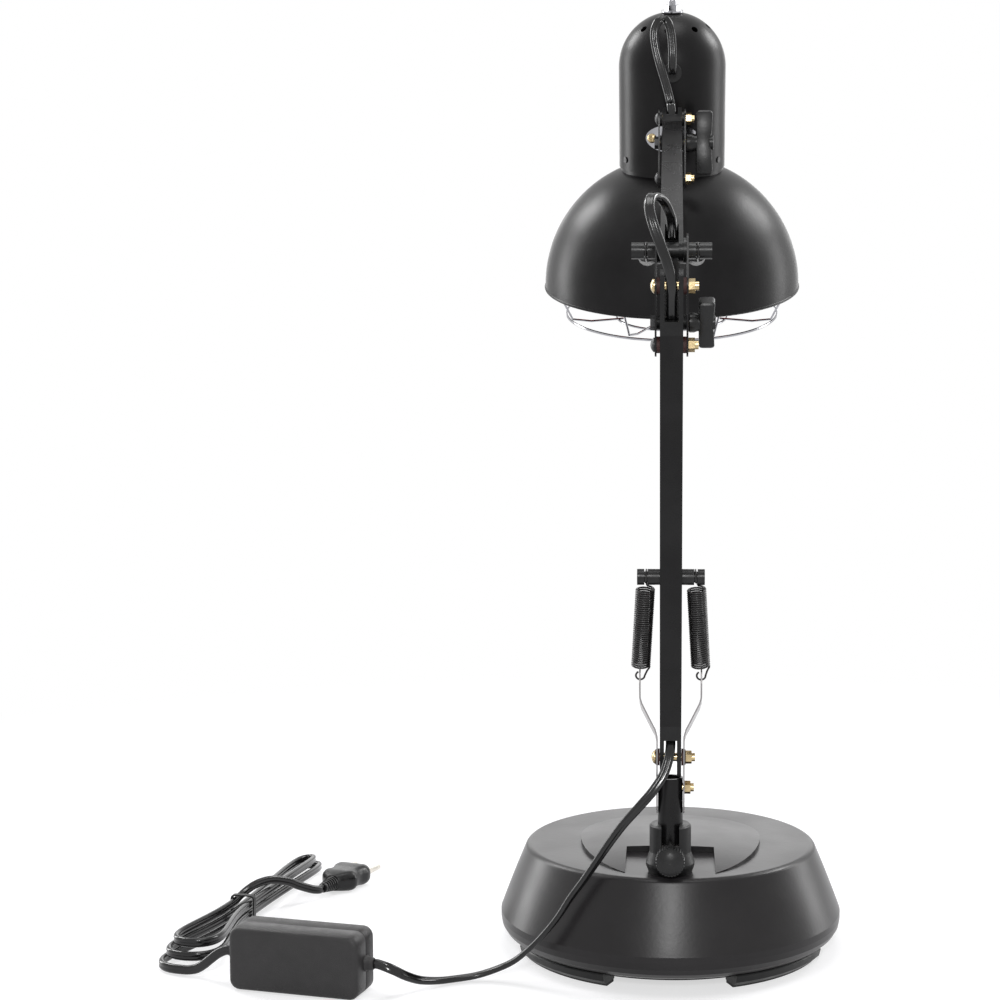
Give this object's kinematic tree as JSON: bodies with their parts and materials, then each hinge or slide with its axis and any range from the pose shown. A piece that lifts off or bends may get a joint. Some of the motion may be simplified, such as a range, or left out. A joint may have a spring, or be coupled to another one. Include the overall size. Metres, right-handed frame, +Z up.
{
  "type": "infrared heat therapy lamp",
  "caption": "Desk heat lamp: weighted round base, spring-balanced arms with a parallel link, tilting bell shade with red bulb and wire guard, inline dimmer and corded plug.",
  "frame": {"origin": "on the table plane, under the centre of the round base", "axes": "+X across the lamp, +Y the way the arm reaches and the beam leans, +Z up"},
  "size_m": [0.4199, 0.4421, 0.6164],
  "materials": {
    "painted": "satin black enamel",
    "plastic": "moulded dark grey plastic",
    "cord_sheath": "glossy black flat cord",
    "zinc": "yellow-tinted zinc plate",
    "bright_steel": "bright plated",
    "dark_steel": "blackened",
    "ballast": "rough cast",
    "rubber": "black",
    "porcelain": "unglazed white",
    "bulb_metal": "bare",
    "ruby_glass": "ruby red",
    "pin_metal": "nickel plated"
  },
  "bodies": {
    "base": {"base_shell": "painted", "base_cover": "plastic", "base_weight": "ballast", "base_feet": "rubber", "base_screws": "zinc", "post_socket": "plastic", "clamp_block": "zinc", "cord_lead": "cord_sheath", "switch_back": "plastic", "switch_front": "plastic", "cord_tail": "cord_sheath", "cord_hank": "cord_sheath", "cord_tie": "plastic", "plug_body": "plastic", "plug_pins": "pin_metal"},
    "clamp_screw": {"thumb_screw": "plastic"},
    "post": {"post_tube": "painted", "spring_strip_left": "bright_steel", "spring_strip_right": "bright_steel", "post_bolt": "zinc", "pivot_bolt": "zinc"},
    "lower_arm": {"lower_tube": "painted", "lower_foot_fitting": "plastic", "lower_top_fitting": "plastic", "lower_spring_pin": "plastic", "lower_spring_left": "dark_steel", "lower_spring_right": "dark_steel", "elbow_plate_left": "painted", "elbow_plate_right": "painted", "elbow_pin": "plastic", "elbow_bolts": "zinc"},
    "elbow_clamp": {"elbow_knob": "plastic"},
    "upper_arm": {"upper_tube": "painted", "upper_rear_fitting": "plastic", "upper_front_fitting": "plastic", "elbow_cable": "cord_sheath"},
    "link": {"link_bar": "painted", "link_spring_pin": "plastic", "upper_spring_left": "dark_steel", "upper_spring_right": "dark_steel"},
    "head_yoke": {"head_plate_left": "painted", "head_plate_right": "painted", "head_bolts": "zinc"},
    "head_clamp": {"head_knob": "plastic"},
    "head": {"head_bracket": "bright_steel", "bracket_screws": "zinc", "lamp_cap": "painted", "cap_screws": "dark_steel", "cap_finial": "bright_steel", "cable_grommet": "plastic", "lamp_shade": "painted", "lampholder": "porcelain", "bulb_cap": "bulb_metal", "bulb_glass": "ruby_glass", "wire_guard": "bright_steel", "guard_clips": "bright_steel", "head_cable": "cord_sheath"},
    "dimmer": {"dimmer_wheel": "plastic"}
  },
  "joints": [
    {"name": "post_swivel", "type": "hinge", "parent": "base", "child": "post", "pos_m": [0, -0.072, 0.1], "axis": [0, 0, 1], "range_deg": [-120, 120], "deforming": ["cord_lead"]},
    {"name": "clamp_screw_turn", "type": "hinge", "parent": "base", "child": "clamp_screw", "pos_m": [0, -0.09, 0.0767], "axis": [0, -1, 0], "range_deg": [-180, 180]},
    {"name": "lower_arm_hinge", "type": "hinge", "parent": "post", "child": "lower_arm", "pos_m": [0, -0.072, 0.1346], "axis": [1, 0, 0], "range_deg": [-20, 15], "deforming": ["lower_spring_left", "lower_spring_right"]},
    {"name": "elbow_knob_turn", "type": "hinge", "parent": "lower_arm", "child": "elbow_clamp", "pos_m": [0, -0.13246, 0.39117], "axis": [1, 0, 0], "range_deg": [-180, 180]},
    {"name": "upper_arm_hinge", "type": "hinge", "parent": "lower_arm", "child": "upper_arm", "pos_m": [0, -0.13246, 0.43057], "axis": [1, 0, 0], "range_deg": [-40, 30], "deforming": ["elbow_cable"]},
    {"name": "link_hinge", "type": "hinge", "parent": "lower_arm", "child": "link", "pos_m": [0, -0.13246, 0.39117], "axis": [1, 0, 0], "range_deg": [-40, 30], "deforming": ["upper_spring_left", "upper_spring_right"]},
    {"name": "head_yoke_hinge", "type": "hinge", "parent": "upper_arm", "child": "head_yoke", "pos_m": [0, 0.09508, 0.53046], "axis": [1, 0, 0], "range_deg": [-30, 40]},
    {"name": "head_tilt_hinge", "type": "hinge", "parent": "head_yoke", "child": "head", "pos_m": [0, 0.10508, 0.51576], "axis": [1, 0, 0], "range_deg": [-18, 18], "deforming": ["head_cable"]},
    {"name": "head_knob_turn", "type": "hinge", "parent": "head_yoke", "child": "head_clamp", "pos_m": [0, 0.10508, 0.51576], "axis": [1, 0, 0], "range_deg": [-15, 45]},
    {"name": "dimmer_turn", "type": "hinge", "parent": "base", "child": "dimmer", "pos_m": [-0.19857, -0.08904, 0.019], "axis": [0.2351, 0.972, 0], "range_deg": [0, 270]}
  ],
  "couplings": [
    {"joint": "link_hinge", "follows": "upper_arm_hinge", "ratio": 1},
    {"joint": "head_yoke_hinge", "follows": "upper_arm_hinge", "ratio": -1}
  ]
}
